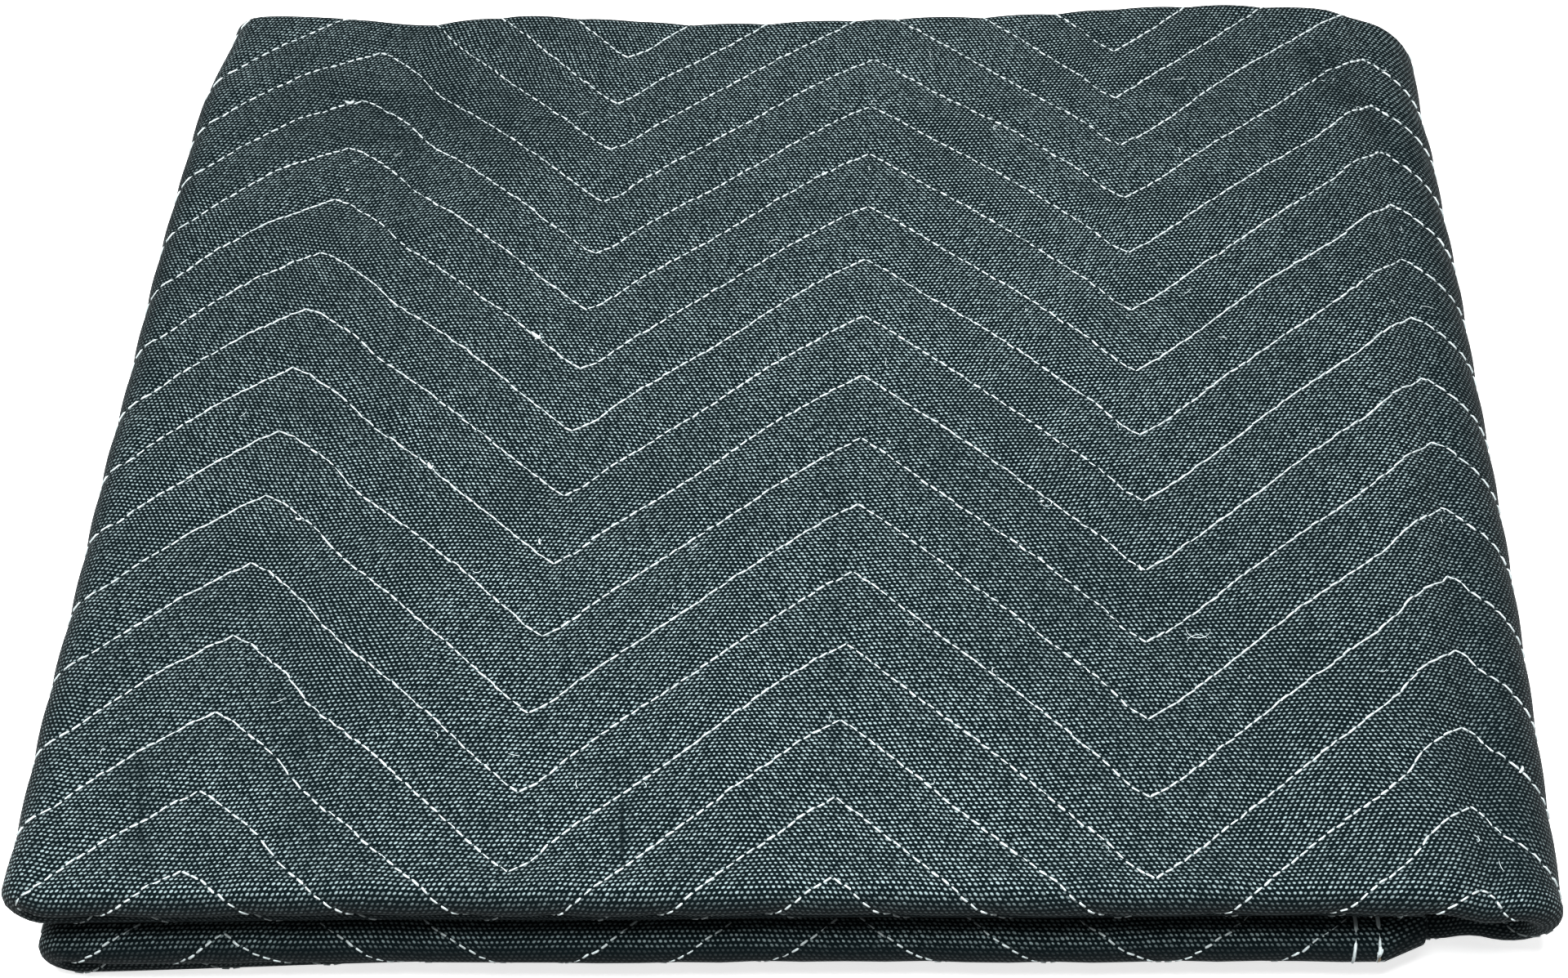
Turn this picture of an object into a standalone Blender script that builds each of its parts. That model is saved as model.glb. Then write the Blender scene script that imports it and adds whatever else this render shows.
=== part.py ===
# Folded moving blanket: one quilted, woven sheet, folded in four by four.
# Metres, +Z up. It lies on z = 0 with its rounded folds toward -Y.
import math

import bmesh
import bpy
from mathutils import Vector
from mathutils.geometry import delaunay_2d_cdt

# Folded size on the ground.
WIDTH = 0.5200
DEPTH = 0.4440

# Cloth: its thickness, and the step from one layer to the next in a fold of four.
CLOTH = 0.0026
LAYER_STEP = 0.00345
PACK = 3 * LAYER_STEP + CLOTH

# Step from one group of four layers to the next.
GROUP_STEP = 0.0143
HEIGHT = 3 * GROUP_STEP + PACK

# Left folds: the upper one stands out further than the lower one.
LEFT_FOLD_R = GROUP_STEP / 2
UPPER_FOLD_X = -WIDTH / 2 + LEFT_FOLD_R + PACK / 2
LOWER_FOLD_X = UPPER_FOLD_X + 0.0055

# Right fold: wraps the hemmed ends and is narrower than the stack.
CLOSING_X = 0.2176
CLOSING_RUN = 0.0240
TOP_DROOP = 0.0060
UNDER_RISE = 0.0090
RIGHT_FOLD_R = (3 * GROUP_STEP - TOP_DROOP - UNDER_RISE) / 2
UPPER_HEM_X = 0.2162
LOWER_HEM_X = 0.2180

# Front and back folds of every group.
OUTER_NOSE_R = 1.5 * LAYER_STEP
INNER_FOLD_R = 0.5 * LAYER_STEP
NOSE_Y = -DEPTH / 2 + PACK / 2
BACK_FOLD_Y = DEPTH / 2 - INNER_FOLD_R - CLOTH / 2
OUTER_HEM_Y = 0.2135
INNER_HEM_Y = 0.2170

# Quilting: zigzag seams and the puffed rows between them.
SEAM_STEP = 0.0316
ZIGZAG_HALF = 0.1059
ZIGZAG_DROP = 3 * SEAM_STEP
FIRST_PEAK_X = -0.1890
FIRST_PEAK_Y = 0.2010
PUFF = 0.00055
QUILT_FRONT_Y = -0.2060
QUILT_BACK_Y = 0.2080
QUILT_FADE = 0.0120
QUILT_LEFT_X = UPPER_FOLD_X + 0.0140
QUILT_RIGHT_X = CLOSING_X - 0.0140

# Segments of the folds.
NOSE_SEGMENTS = 8
TIGHT_SEGMENTS = 5
LEFT_SEGMENTS = 9
RIGHT_SEGMENTS = 10
CLOSING_SEGMENTS = 3

# How the edges of the stack wander, in metres: place along the edge, and the shift there.
LEFT_EDGE = (
    (-0.222, 0.0064), (-0.120, 0.0034), (-0.010, 0.0006), (0.100, -0.0014), (0.170, -0.0012),
    (0.222, 0.0054),
)
RIGHT_EDGE = (
    (-0.222, -0.0012), (-0.065, 0.0004), (0.070, -0.0008), (0.155, -0.0014), (0.222, -0.0020),
)
FRONT_EDGE = ((-0.260, -0.0046), (-0.100, -0.0012), (0.060, 0.0020), (0.200, 0.0046), (0.260, 0.0050))
BACK_EDGE = (
    (-0.260, 0.0048), (-0.182, -0.0020), (-0.125, 0.0046), (-0.045, -0.0026), (0.060, 0.0010),
    (0.178, 0.0098), (0.222, 0.0030), (0.260, -0.0050),
)

# Each group of layers, by its share of the way along the sheet from the upper hemmed
# end: how far its front fold stands back, and how much fuller that fold is.
GROUPS = (
    # start, end, front set back at start, at end, fullness, back shift
    ("second", -0.020, 0.236, 0.0085, 0.0065, -0.14, -0.0030),
    ("top", 0.247, 0.484, 0.0000, 0.0000, 0.18, 0.0),
    ("bottom", 0.529, 0.759, 0.0175, 0.0046, -0.10, -0.0040),
    ("third", 0.770, 1.020, -0.0002, 0.0002, 0.14, -0.0015),
)
FULLNESS_BACK_Y = -0.2040
FULLNESS_FRONT_Y = -0.2165


def smooth(t):
    """Eased step from 0 to 1."""
    t = min(1.0, max(0.0, t))
    return t * t * (3 - 2 * t)


def along(table, place):
    """Eased value of a short table at a place."""
    if place <= table[0][0]:
        return table[0][1]
    for (a, low), (b, high) in zip(table, table[1:]):
        if place <= b:
            return low + (high - low) * smooth((place - a) / (b - a))
    return table[-1][1]


def follow(start, heading, pieces, distance):
    """Point and left-hand normal at a distance along straights and bends."""
    x, y = start
    for length, turn in pieces:
        step = min(distance, length)
        if turn == 0:
            x += step * math.cos(heading)
            y += step * math.sin(heading)
        else:
            radius = length / turn
            end = heading + step / radius
            x += radius * (math.sin(end) - math.sin(heading))
            y -= radius * (math.cos(end) - math.cos(heading))
            heading = end
        distance -= step
        if distance <= 1e-12:
            break
    return x, y, -math.sin(heading), math.cos(heading)


def closing_bend(change):
    """Turn and length of one of the two bends that shift a run sideways."""
    turn = 2 * math.atan(change / CLOSING_RUN)
    return CLOSING_RUN / (2 * math.sin(turn)) * turn, turn


TOP_BEND, TOP_TURN = closing_bend(TOP_DROOP)
UNDER_BEND, UNDER_TURN = closing_bend(UNDER_RISE)

# Front-to-back section, from the outer hemmed end: run, nose, run, fold, run, fold, run.
DEEP_PATH = (
    (OUTER_HEM_Y - NOSE_Y, 0),
    (math.pi * OUTER_NOSE_R, -math.pi),
    (BACK_FOLD_Y - NOSE_Y, 0),
    (math.pi * INNER_FOLD_R, -math.pi),
    (BACK_FOLD_Y - NOSE_Y, 0),
    (math.pi * INNER_FOLD_R, math.pi),
    (INNER_HEM_Y - NOSE_Y, 0),
)
DEEP_START = (OUTER_HEM_Y, -1.5 * LAYER_STEP)

# Left-to-right section, from the upper hemmed end: second, top, bottom and third group.
WIDE_PATH = (
    (UPPER_HEM_X - UPPER_FOLD_X, 0),
    (math.pi * LEFT_FOLD_R, -math.pi),
    (CLOSING_X - UPPER_FOLD_X, 0),
    (TOP_BEND, -TOP_TURN),
    (TOP_BEND, TOP_TURN),
    (math.pi * RIGHT_FOLD_R, -math.pi),
    (UNDER_BEND, UNDER_TURN),
    (UNDER_BEND, -UNDER_TURN),
    (CLOSING_X - LOWER_FOLD_X, 0),
    (math.pi * LEFT_FOLD_R, -math.pi),
    (LOWER_HEM_X - LOWER_FOLD_X, 0),
)
WIDE_START = (UPPER_HEM_X, PACK / 2 + 2 * GROUP_STEP)

DEEP_LENGTH = sum(piece[0] for piece in DEEP_PATH)
WIDE_LENGTH = sum(piece[0] for piece in WIDE_PATH)


def starts(path):
    """Distance at which each piece of a path starts, and the whole length."""
    found = [0.0]
    for length, _ in path:
        found.append(found[-1] + length)
    return found


DEEP_AT = starts(DEEP_PATH)
WIDE_AT = starts(WIDE_PATH)


def set_back(u):
    """How far the front fold stands back at a place along the sheet, eased round the side folds."""
    share = u / WIDE_LENGTH
    ended, last = 0.0, GROUPS[0][3]
    for _, start, end, first, final, _, _ in GROUPS:
        if share < start:
            return last + (first - last) * smooth((share - ended) / (start - ended))
        if share <= end:
            return first + (final - first) * (share - start) / (end - start)
        ended, last = end, final
    return last


def group_value(column, u):
    """Value of a column of GROUPS at a place along the sheet, none round the side folds."""
    share = u / WIDE_LENGTH
    found = 0.0
    for row in GROUPS:
        found += row[column] * smooth((share - row[1]) / 0.013) * smooth((row[2] - share) / 0.013)
    return found


def zigzag(x):
    """0 on a line of peaks, 1 on a line of valleys."""
    return abs(((x - FIRST_PEAK_X) / ZIGZAG_HALF + 1) % 2 - 1)


def puff(u, v):
    """Height of the quilting on the top group's outer layer."""
    if not (WIDE_AT[2] <= u <= WIDE_AT[3] and DEEP_AT[2] <= v <= DEEP_AT[3]):
        return 0.0
    x = UPPER_FOLD_X + u - WIDE_AT[2]
    y = NOSE_Y + v - DEEP_AT[2]
    rows = (FIRST_PEAK_Y - y - ZIGZAG_DROP * zigzag(x)) / SEAM_STEP
    fade = smooth((y - QUILT_FRONT_Y) / QUILT_FADE) * smooth((QUILT_BACK_Y - y) / QUILT_FADE)
    fade *= smooth((x - UPPER_FOLD_X) / 0.0140) * smooth((CLOSING_X - x) / 0.0140)
    return -PUFF * fade * math.cos(2 * math.pi * rows)


def place(u, v, w):
    """Folded position of a point of the flat sheet, w above its middle surface."""
    y, n, across, up = follow(DEEP_START, math.pi, DEEP_PATH, v)
    y += w * across
    n += w * up
    full = 1 - smooth((y - FULLNESS_FRONT_Y) / (FULLNESS_BACK_Y - FULLNESS_FRONT_Y))
    n *= 1 + group_value(5, u) * full

    x, z, across, up = follow(WIDE_START, math.pi, WIDE_PATH, u)
    x += n * across
    z += n * up

    back = min(1.0, max(0.0, y / DEPTH + 0.5))
    y += (1 - back) * (along(FRONT_EDGE, x) + set_back(u))
    y += back * (along(BACK_EDGE, x) + group_value(6, u))
    right = min(1.0, max(0.0, x / WIDTH + 0.5))
    x += (1 - right) * along(LEFT_EDGE, y) + right * along(RIGHT_EDGE, y)
    z *= 1 + 0.010 * math.sin(9.0 * x + 0.6) * math.cos(8.0 * y - 0.4)
    return Vector((x, y, z))


def bend_stations(path, segments):
    """Distances of the lines that cut a path's bends into segments."""
    found = []
    at = 0.0
    for (length, turn), count in zip(path, segments):
        found += [at + length * k / count for k in range(count + 1)]
        at += length
    return found


def without_repeats(values):
    """Sorted values at least a tenth of a millimetre apart."""
    found = []
    for value in sorted(values):
        if not found or value - found[-1] > 0.0001:
            found.append(value)
    return found


def wide_lines():
    """Cuts across the width of the flat sheet."""
    found = bend_stations(
        WIDE_PATH, (1, LEFT_SEGMENTS, 1, CLOSING_SEGMENTS, CLOSING_SEGMENTS, RIGHT_SEGMENTS,
                    CLOSING_SEGMENTS, CLOSING_SEGMENTS, 1, LEFT_SEGMENTS, 1))
    column = WIDE_AT[2] + FIRST_PEAK_X - UPPER_FOLD_X
    runs = ((0, 1), (2, 3), (8, 9), (10, 11))
    for k in range(-6, 16):
        u = column + k * ZIGZAG_HALF
        if any(WIDE_AT[a] + 0.012 < u < WIDE_AT[b] - 0.020 for a, b in runs):
            found.append(u)
    found.append(WIDE_AT[2] + 0.178 - UPPER_FOLD_X)
    return without_repeats(found)


def deep_lines():
    """Cuts along the length of the flat sheet."""
    found = bend_stations(DEEP_PATH, (1, NOSE_SEGMENTS, 1, TIGHT_SEGMENTS, 1, TIGHT_SEGMENTS, 1))
    for y in (-0.120, 0.0, 0.120, QUILT_FRONT_Y, QUILT_BACK_Y):
        found.append(DEEP_AT[1] - (y - NOSE_Y))
        found.append(DEEP_AT[2] + (y - NOSE_Y))
        found.append(DEEP_AT[5] - (y - NOSE_Y))
        found.append(DEEP_AT[6] + (y - NOSE_Y))
    return without_repeats(found)


def seam_edges():
    """Ends of the straight seam and ridge pieces of the top group, in the flat sheet."""
    found = []
    columns = [QUILT_LEFT_X]
    columns += [FIRST_PEAK_X + k * ZIGZAG_HALF for k in range(4)]
    columns += [QUILT_RIGHT_X]
    for half_row in range(-8, 32):
        peak = FIRST_PEAK_Y - half_row * SEAM_STEP / 2
        for a, b in zip(columns, columns[1:]):
            ends = [(x, peak - ZIGZAG_DROP * zigzag(x)) for x in (a, b)]
            (xa, ya), (xb, yb) = ends
            cuts = [0.0, 1.0]
            for limit in (QUILT_FRONT_Y, QUILT_BACK_Y):
                if (ya - limit) * (yb - limit) < 0:
                    cuts.append((limit - ya) / (yb - ya))
            cuts.sort()
            for s, t in zip(cuts, cuts[1:]):
                middle = ya + (yb - ya) * (s + t) / 2
                if QUILT_FRONT_Y < middle < QUILT_BACK_Y and abs(yb - ya) * (t - s) > 0.002:
                    found.append([
                        Vector((WIDE_AT[2] + xa + (xb - xa) * r - UPPER_FOLD_X,
                                DEEP_AT[2] + ya + (yb - ya) * r - NOSE_Y)) for r in (s, t)])
    return found


def flat_sheet():
    """Points and triangles of the flat sheet, cut along its folds and seams."""
    points = []
    edges = []

    def line(a, b):
        points.extend((a, b))
        edges.append((len(points) - 2, len(points) - 1))

    for u in wide_lines():
        line(Vector((u, 0.0)), Vector((u, DEEP_LENGTH)))
    for v in deep_lines():
        line(Vector((0.0, v)), Vector((WIDE_LENGTH, v)))
    for a, b in seam_edges():
        line(a, b)
    found = delaunay_2d_cdt(points, edges, [], 0, 0.0004)
    return found[0], found[2]


def build():
    """One closed body: the sheet's face, its underside and its rim."""
    points, triangles = flat_sheet()
    shape = bmesh.new()
    face_side = [shape.verts.new(place(u, v, CLOTH / 2 + puff(u, v))) for u, v in points]
    back_side = [shape.verts.new(place(u, v, -CLOTH / 2)) for u, v in points]
    uses = {}
    for a, b, c in triangles:
        shape.faces.new((face_side[a], face_side[b], face_side[c]))
        shape.faces.new((back_side[c], back_side[b], back_side[a]))
        for pair in ((a, b), (b, c), (c, a)):
            uses[pair] = uses.get(pair, 0) + 1
    for a, b in uses:
        if (b, a) not in uses:
            shape.faces.new((face_side[b], face_side[a], back_side[a]))
            shape.faces.new((face_side[b], back_side[a], back_side[b]))
    loose = [vert for vert in shape.verts if not vert.link_faces]
    bmesh.ops.delete(shape, geom=loose, context="VERTS")
    middle = [
        (min(vert.co[k] for vert in shape.verts) + max(vert.co[k] for vert in shape.verts)) / 2
        for k in range(2)]
    bmesh.ops.translate(shape, verts=shape.verts, vec=(-middle[0], -middle[1], 0.0))
    bmesh.ops.recalc_face_normals(shape, faces=shape.faces)
    mesh = bpy.data.meshes.new("folded_blanket")
    shape.to_mesh(mesh)
    shape.free()
    blanket = bpy.data.objects.new("folded_blanket", mesh)
    bpy.context.scene.collection.objects.link(blanket)

    fabric = bpy.data.materials.new("charcoal_fabric")
    fabric.use_nodes = True
    shader = fabric.node_tree.nodes["Principled BSDF"]
    shader.inputs["Base Color"].default_value = (0.030, 0.034, 0.036, 1.0)
    shader.inputs["Roughness"].default_value = 0.95
    blanket.data.materials.append(fabric)


for old in list(bpy.data.objects):
    bpy.data.objects.remove(old, do_unlink=True)
build()
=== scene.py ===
import math
import random

import bmesh
import bpy
from bpy.props import FloatProperty, FloatVectorProperty, PointerProperty
from bpy.types import Operator, Panel, PropertyGroup
from mathutils import Matrix, Vector


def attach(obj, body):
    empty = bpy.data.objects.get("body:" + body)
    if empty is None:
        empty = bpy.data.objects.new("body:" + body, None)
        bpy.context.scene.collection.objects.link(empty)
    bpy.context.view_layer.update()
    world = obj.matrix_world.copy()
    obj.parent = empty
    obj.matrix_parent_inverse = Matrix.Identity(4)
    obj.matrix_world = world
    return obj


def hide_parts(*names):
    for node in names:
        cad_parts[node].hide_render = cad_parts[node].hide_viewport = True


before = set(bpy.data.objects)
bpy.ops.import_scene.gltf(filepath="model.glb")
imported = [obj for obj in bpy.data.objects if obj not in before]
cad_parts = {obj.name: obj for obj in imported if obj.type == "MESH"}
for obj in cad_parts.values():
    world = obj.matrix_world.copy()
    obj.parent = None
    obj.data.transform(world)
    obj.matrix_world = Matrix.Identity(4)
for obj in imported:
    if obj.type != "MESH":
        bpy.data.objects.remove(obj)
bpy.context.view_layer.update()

# Moving blanket: a woven sheet with zigzag quilting, folded in four by four.
# Metres, +Z up. It lies on z = 0 with its rounded folds toward -Y.

bl_info = {
    "name": "Folded moving blanket",
    "version": (1, 0, 0),
    "blender": (4, 5, 0),
    "location": "View3D > Sidebar > Blanket",
    "description": "A folded, quilted moving blanket with its stitches",
    "category": "Object",
}

# Folded size on the ground.
WIDTH = 0.5200
DEPTH = 0.4440
BOX_MIDDLE = (0.00047, 0.00259)

# Cloth: its thickness, and the step from one layer to the next in a fold of four.
CLOTH = 0.0026
LAYER_STEP = 0.00345
PACK = 3 * LAYER_STEP + CLOTH

# Step from one group of four layers to the next.
GROUP_STEP = 0.0143

# Left folds and right fold.
LEFT_FOLD_R = GROUP_STEP / 2
UPPER_FOLD_X = -WIDTH / 2 + LEFT_FOLD_R + PACK / 2
LOWER_FOLD_X = UPPER_FOLD_X + 0.0055
CLOSING_X = 0.2176
CLOSING_RUN = 0.0240
TOP_DROOP = 0.0060
UNDER_RISE = 0.0090
RIGHT_FOLD_R = (3 * GROUP_STEP - TOP_DROOP - UNDER_RISE) / 2
LEFT_EDGE_ROUND = 0.0120
UPPER_HEM_X = 0.2162
LOWER_HEM_X = 0.2180

# Front and back folds of every group.
OUTER_NOSE_R = 1.5 * LAYER_STEP
INNER_FOLD_R = 0.5 * LAYER_STEP
NOSE_Y = -DEPTH / 2 + PACK / 2
BACK_FOLD_Y = DEPTH / 2 - INNER_FOLD_R - CLOTH / 2
OUTER_HEM_Y = 0.2135
INNER_HEM_Y = 0.2170

# Zigzag quilting.
SEAM_STEP = 0.0316
ZIGZAG_HALF = 0.1059
ZIGZAG_DROP = 3 * SEAM_STEP
FIRST_PEAK_X = -0.1890
FIRST_PEAK_Y = 0.2010

# How the edges of the stack wander: place along the edge, and the shift there.
LEFT_EDGE = (
    (-0.222, 0.0064), (-0.120, 0.0034), (-0.010, 0.0006), (0.100, -0.0014), (0.170, -0.0012),
    (0.222, 0.0054),
)
RIGHT_EDGE = (
    (-0.222, -0.0012), (-0.065, 0.0004), (0.070, -0.0008), (0.145, -0.0026), (0.185, -0.0046),
    (0.222, -0.0046),
)
FRONT_EDGE = ((-0.260, -0.0046), (-0.100, -0.0012), (0.060, 0.0020), (0.200, 0.0046), (0.260, 0.0050))
BACK_EDGE = (
    (-0.260, 0.0048), (-0.214, 0.0034), (-0.176, -0.0020), (-0.130, 0.0034), (-0.045, -0.0028),
    (0.060, 0.0010), (0.176, 0.0080), (0.234, 0.0050), (0.262, -0.0046),
)
GROUPS = (
    # start, end, front set back at start, at end, fullness, back shift
    ("second", -0.020, 0.236, 0.0085, 0.0065, -0.14, -0.0030),
    ("top", 0.247, 0.484, 0.0000, 0.0000, 0.18, 0.0),
    ("bottom", 0.529, 0.759, 0.0175, 0.0046, -0.10, -0.0040),
    ("third", 0.770, 1.020, -0.0002, 0.0002, 0.14, -0.0015),
)

# The lower hemmed end stands further back over its last run, and the underside of the top
# group's front fold is a little flatter.
LOWER_END_BACK = 0.0068
LOWER_END_RUN = 0.0125
NOSE_LIFT = -0.14
FULLNESS_BACK_Y = -0.2040
FULLNESS_FRONT_Y = -0.2165
GROUP_EASE = 0.013
SWELL = 0.010


def smooth(t):
    """Eased step from 0 to 1."""
    t = min(1.0, max(0.0, t))
    return t * t * (3 - 2 * t)


def along(table, place):
    """Eased value of a short table at a place."""
    if place <= table[0][0]:
        return table[0][1]
    for (a, low), (b, high) in zip(table, table[1:]):
        if place <= b:
            return low + (high - low) * smooth((place - a) / (b - a))
    return table[-1][1]


def follow(start, heading, pieces, distance):
    """Point and left-hand normal at a distance along straights and bends."""
    x, y = start
    for length, turn in pieces:
        step = min(distance, length)
        if turn == 0:
            x += step * math.cos(heading)
            y += step * math.sin(heading)
        else:
            radius = length / turn
            end = heading + step / radius
            x += radius * (math.sin(end) - math.sin(heading))
            y -= radius * (math.cos(end) - math.cos(heading))
            heading = end
        distance -= step
        if distance <= 1e-12:
            break
    return x, y, -math.sin(heading), math.cos(heading)


def closing_bend(change):
    """Length and turn of one of the two bends that shift a run sideways."""
    turn = 2 * math.atan(change / CLOSING_RUN)
    return CLOSING_RUN / (2 * math.sin(turn)) * turn, turn


TOP_BEND, TOP_TURN = closing_bend(TOP_DROOP)
UNDER_BEND, UNDER_TURN = closing_bend(UNDER_RISE)

# Front-to-back section, from the outer hemmed end.
DEEP_PATH = (
    (OUTER_HEM_Y - NOSE_Y, 0),
    (math.pi * OUTER_NOSE_R, -math.pi),
    (BACK_FOLD_Y - NOSE_Y, 0),
    (math.pi * INNER_FOLD_R, -math.pi),
    (BACK_FOLD_Y - NOSE_Y, 0),
    (math.pi * INNER_FOLD_R, math.pi),
    (INNER_HEM_Y - NOSE_Y, 0),
)
DEEP_START = (OUTER_HEM_Y, -1.5 * LAYER_STEP)

# Left-to-right section, from the upper hemmed end: second, top, bottom and third group.
WIDE_PATH = (
    (UPPER_HEM_X - UPPER_FOLD_X, 0),
    (math.pi * LEFT_FOLD_R, -math.pi),
    (CLOSING_X - UPPER_FOLD_X, 0),
    (TOP_BEND, -TOP_TURN),
    (TOP_BEND, TOP_TURN),
    (math.pi * RIGHT_FOLD_R, -math.pi),
    (UNDER_BEND, UNDER_TURN),
    (UNDER_BEND, -UNDER_TURN),
    (CLOSING_X - LOWER_FOLD_X, 0),
    (math.pi * LEFT_FOLD_R, -math.pi),
    (LOWER_HEM_X - LOWER_FOLD_X, 0),
)
WIDE_START = (UPPER_HEM_X, PACK / 2 + 2 * GROUP_STEP)

DEEP_LENGTH = sum(piece[0] for piece in DEEP_PATH)
WIDE_LENGTH = sum(piece[0] for piece in WIDE_PATH)


def starts(path):
    """Distance at which each piece of a path starts, and the whole length."""
    found = [0.0]
    for length, _ in path:
        found.append(found[-1] + length)
    return found


DEEP_AT = starts(DEEP_PATH)
WIDE_AT = starts(WIDE_PATH)


def turned(path, distance):
    """How far the path has turned at a distance along it."""
    angle = 0.0
    for length, turn in path:
        if distance <= length:
            return angle + turn * distance / length
        angle += turn
        distance -= length
    return angle


def set_back(u):
    """How far the front fold stands back at a place along the sheet."""
    share = u / WIDE_LENGTH
    ended, last = 0.0, GROUPS[0][3]
    for _, start, end, first, final, _, _ in GROUPS:
        if share < start:
            return last + (first - last) * smooth((share - ended) / (start - ended))
        if share <= end and u < WIDE_LENGTH - LOWER_END_RUN:
            return first + (final - first) * (share - start) / (end - start)
        ended, last = end, final
    return last + LOWER_END_BACK * smooth((u - WIDE_LENGTH) / LOWER_END_RUN + 1)


def group_value(column, u):
    """Value of a column of GROUPS at a place along the sheet, none round the side folds."""
    share = u / WIDE_LENGTH
    found = 0.0
    for row in GROUPS:
        inside = smooth((share - row[1]) / GROUP_EASE) * smooth((row[2] - share) / GROUP_EASE)
        found += row[column] * inside
    return found


def folded(u, v, w):
    """Place in the folded stack of a point of the flat cloth, w above its middle surface."""
    y, n, across, up = follow(DEEP_START, math.pi, DEEP_PATH, v)
    y += w * across
    n += w * up
    full = 1 - smooth((y - FULLNESS_FRONT_Y) / (FULLNESS_BACK_Y - FULLNESS_FRONT_Y))
    n *= 1 + (group_value(5, u) if n > 0 or WIDE_AT[8] < u or u < WIDE_AT[2] else NOSE_LIFT) * full

    x, z, across, up = follow(WIDE_START, math.pi, WIDE_PATH, u)
    x += n * across
    z += n * up

    back = min(1.0, max(0.0, y / DEPTH + 0.5))
    y += (1 - back) * (along(FRONT_EDGE, x) + set_back(u))
    y += back * (along(BACK_EDGE, x) + group_value(6, u))
    right = min(1.0, max(0.0, x / WIDTH + 0.5))
    x += (1 - right) * along(LEFT_EDGE, y) + right * along(RIGHT_EDGE, y)
    z *= 1 + SWELL * math.sin(9.0 * x + 0.6) * math.cos(8.0 * y - 0.4)
    return Vector((x - BOX_MIDDLE[0], y - BOX_MIDDLE[1], z))


# Rounding of the cloth's rim, and how fast the hem's rise ends.
RIM = 0.0009
HEM_EASE = 0.002

# Whole rows added to the seam count, so that it's never below zero in the material.
ROW_BASE = 60.0

# Steps of the cloth's grid over each piece of its two sections.
WIDE_STEPS = (0.0180, 0.0023, 0.0038, 0.0038, 0.0038, 0.0030, 0.0045, 0.0045, 0.0180, 0.0023, 0.0140)
DEEP_STEPS = (0.0200, 0.0018, 0.0042, 0.0011, 0.0240, 0.0011, 0.0240)

# How strongly the quilting stands up on each piece of the two sections.
WIDE_RELIEF = (0.35, 0.7, 1.0, 0.9, 0.8, 0.8, 0.6, 0.4, 0.0, 0.5, 0.6)
DEEP_RELIEF = (0.4, 0.8, 1.0, 0.7, 0.0, 0.0, 0.0)
EASE = 0.008

# Peaks and valleys of the seam rows on the top: place across at the back, middle and
# front, and the shift toward the front at five places from back to front.
SEAM_COLUMNS = (
    ("left peak", -0.1868, -0.1922, -0.1962, 0.0008, -0.0026, -0.0039, -0.0020, 0.0034),
    ("left valley", -0.0778, -0.0812, -0.0868, 0.0049, -0.0006, -0.0030, -0.0025, 0.0018),
    ("middle peak", 0.0286, 0.0268, 0.0206, 0.0069, 0.0027, 0.0006, 0.0007, 0.0020),
    ("right valley", 0.1308, 0.1296, 0.1258, 0.0023, -0.0023, -0.0026, -0.0010, 0.0008),
    ("right peak", 0.2344, 0.2360, 0.2288, 0.0019, -0.0040, -0.0049, -0.0034, 0.0009),
)
COLUMN_Y = (-0.20, -0.05, 0.05, 0.13, 0.20)
FIRST_U = WIDE_AT[2] + FIRST_PEAK_X - UPPER_FOLD_X

# Past the right fold the zigzag has drawn in a little, and its rows drift.
DRAWN_IN = 0.0226
FAR_DRIFT = ((10, 0.0018), (12, -0.0070), (14, -0.0132))

# How much flatter the rows run round the front folds: upper groups, bottom group.
NOSE_SLOPE = (0.82, 0.60)

# Wander of a row between two columns: share of the way, and how much lower it runs.
SEAM_WANDER = (
    ((0.0, 0.0), (0.30, 0.0), (0.40, -0.0035), (0.57, -0.0065), (0.74, -0.0060), (0.90, -0.0030), (1.0, 0.0)),
    ((0.0, 0.0), (0.06, -0.0025), (0.18, -0.0035), (0.22, -0.0032), (0.27, -0.0008), (0.32, -0.0005),
     (0.50, -0.0021), (0.70, -0.0016), (0.88, 0.0), (0.96, 0.0007), (1.0, 0.0)),
    ((0.0, 0.0), (0.06, 0.0016), (0.17, -0.0006), (0.40, -0.0008), (0.74, -0.0028), (0.90, -0.0021),
     (1.0, 0.0)),
    ((0.0, 0.0), (0.10, -0.0010), (0.55, -0.0028), (0.84, -0.0018), (0.94, 0.0010), (1.0, 0.0)),
    ((0.0, 0.0), (0.10, 0.0018), (0.40, 0.0014), (0.54, 0.0014), (0.66, 0.0026), (0.80, 0.0036),
     (0.92, -0.0004), (1.0, 0.0)),
    ((0.0, 0.0), (0.05, -0.0035), (0.12, -0.0020), (0.25, 0.0), (1.0, 0.0)),
)

# Needle holes at the kink of the rows right of the left peak, as shares of the way.
KINK = (0.215, 0.278)
KINK_FROM, KINK_TO = 0.19, 0.30

# How rows arch up between two columns, by depth, and how much each stretch does.
ARCH = ((-0.200, 0.0022), (-0.080, 0.0008), (0.060, -0.0006), (0.200, -0.0006))
ARCH_SHARE = (0.0, 1.0, 0.0, 1.0, 0.6, 0.0)

# Left of the left peak the rows rise toward the back, and at the back corners the first
# hidden row stays over the edge.
LEFT_RISE = 0.0058
CORNER_RISE = 0.0065

# At the back the rows run straighter up to the right peak.
STRAIGHT_SHARE = 0.8
STRAIGHT_Y = 0.155


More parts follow.
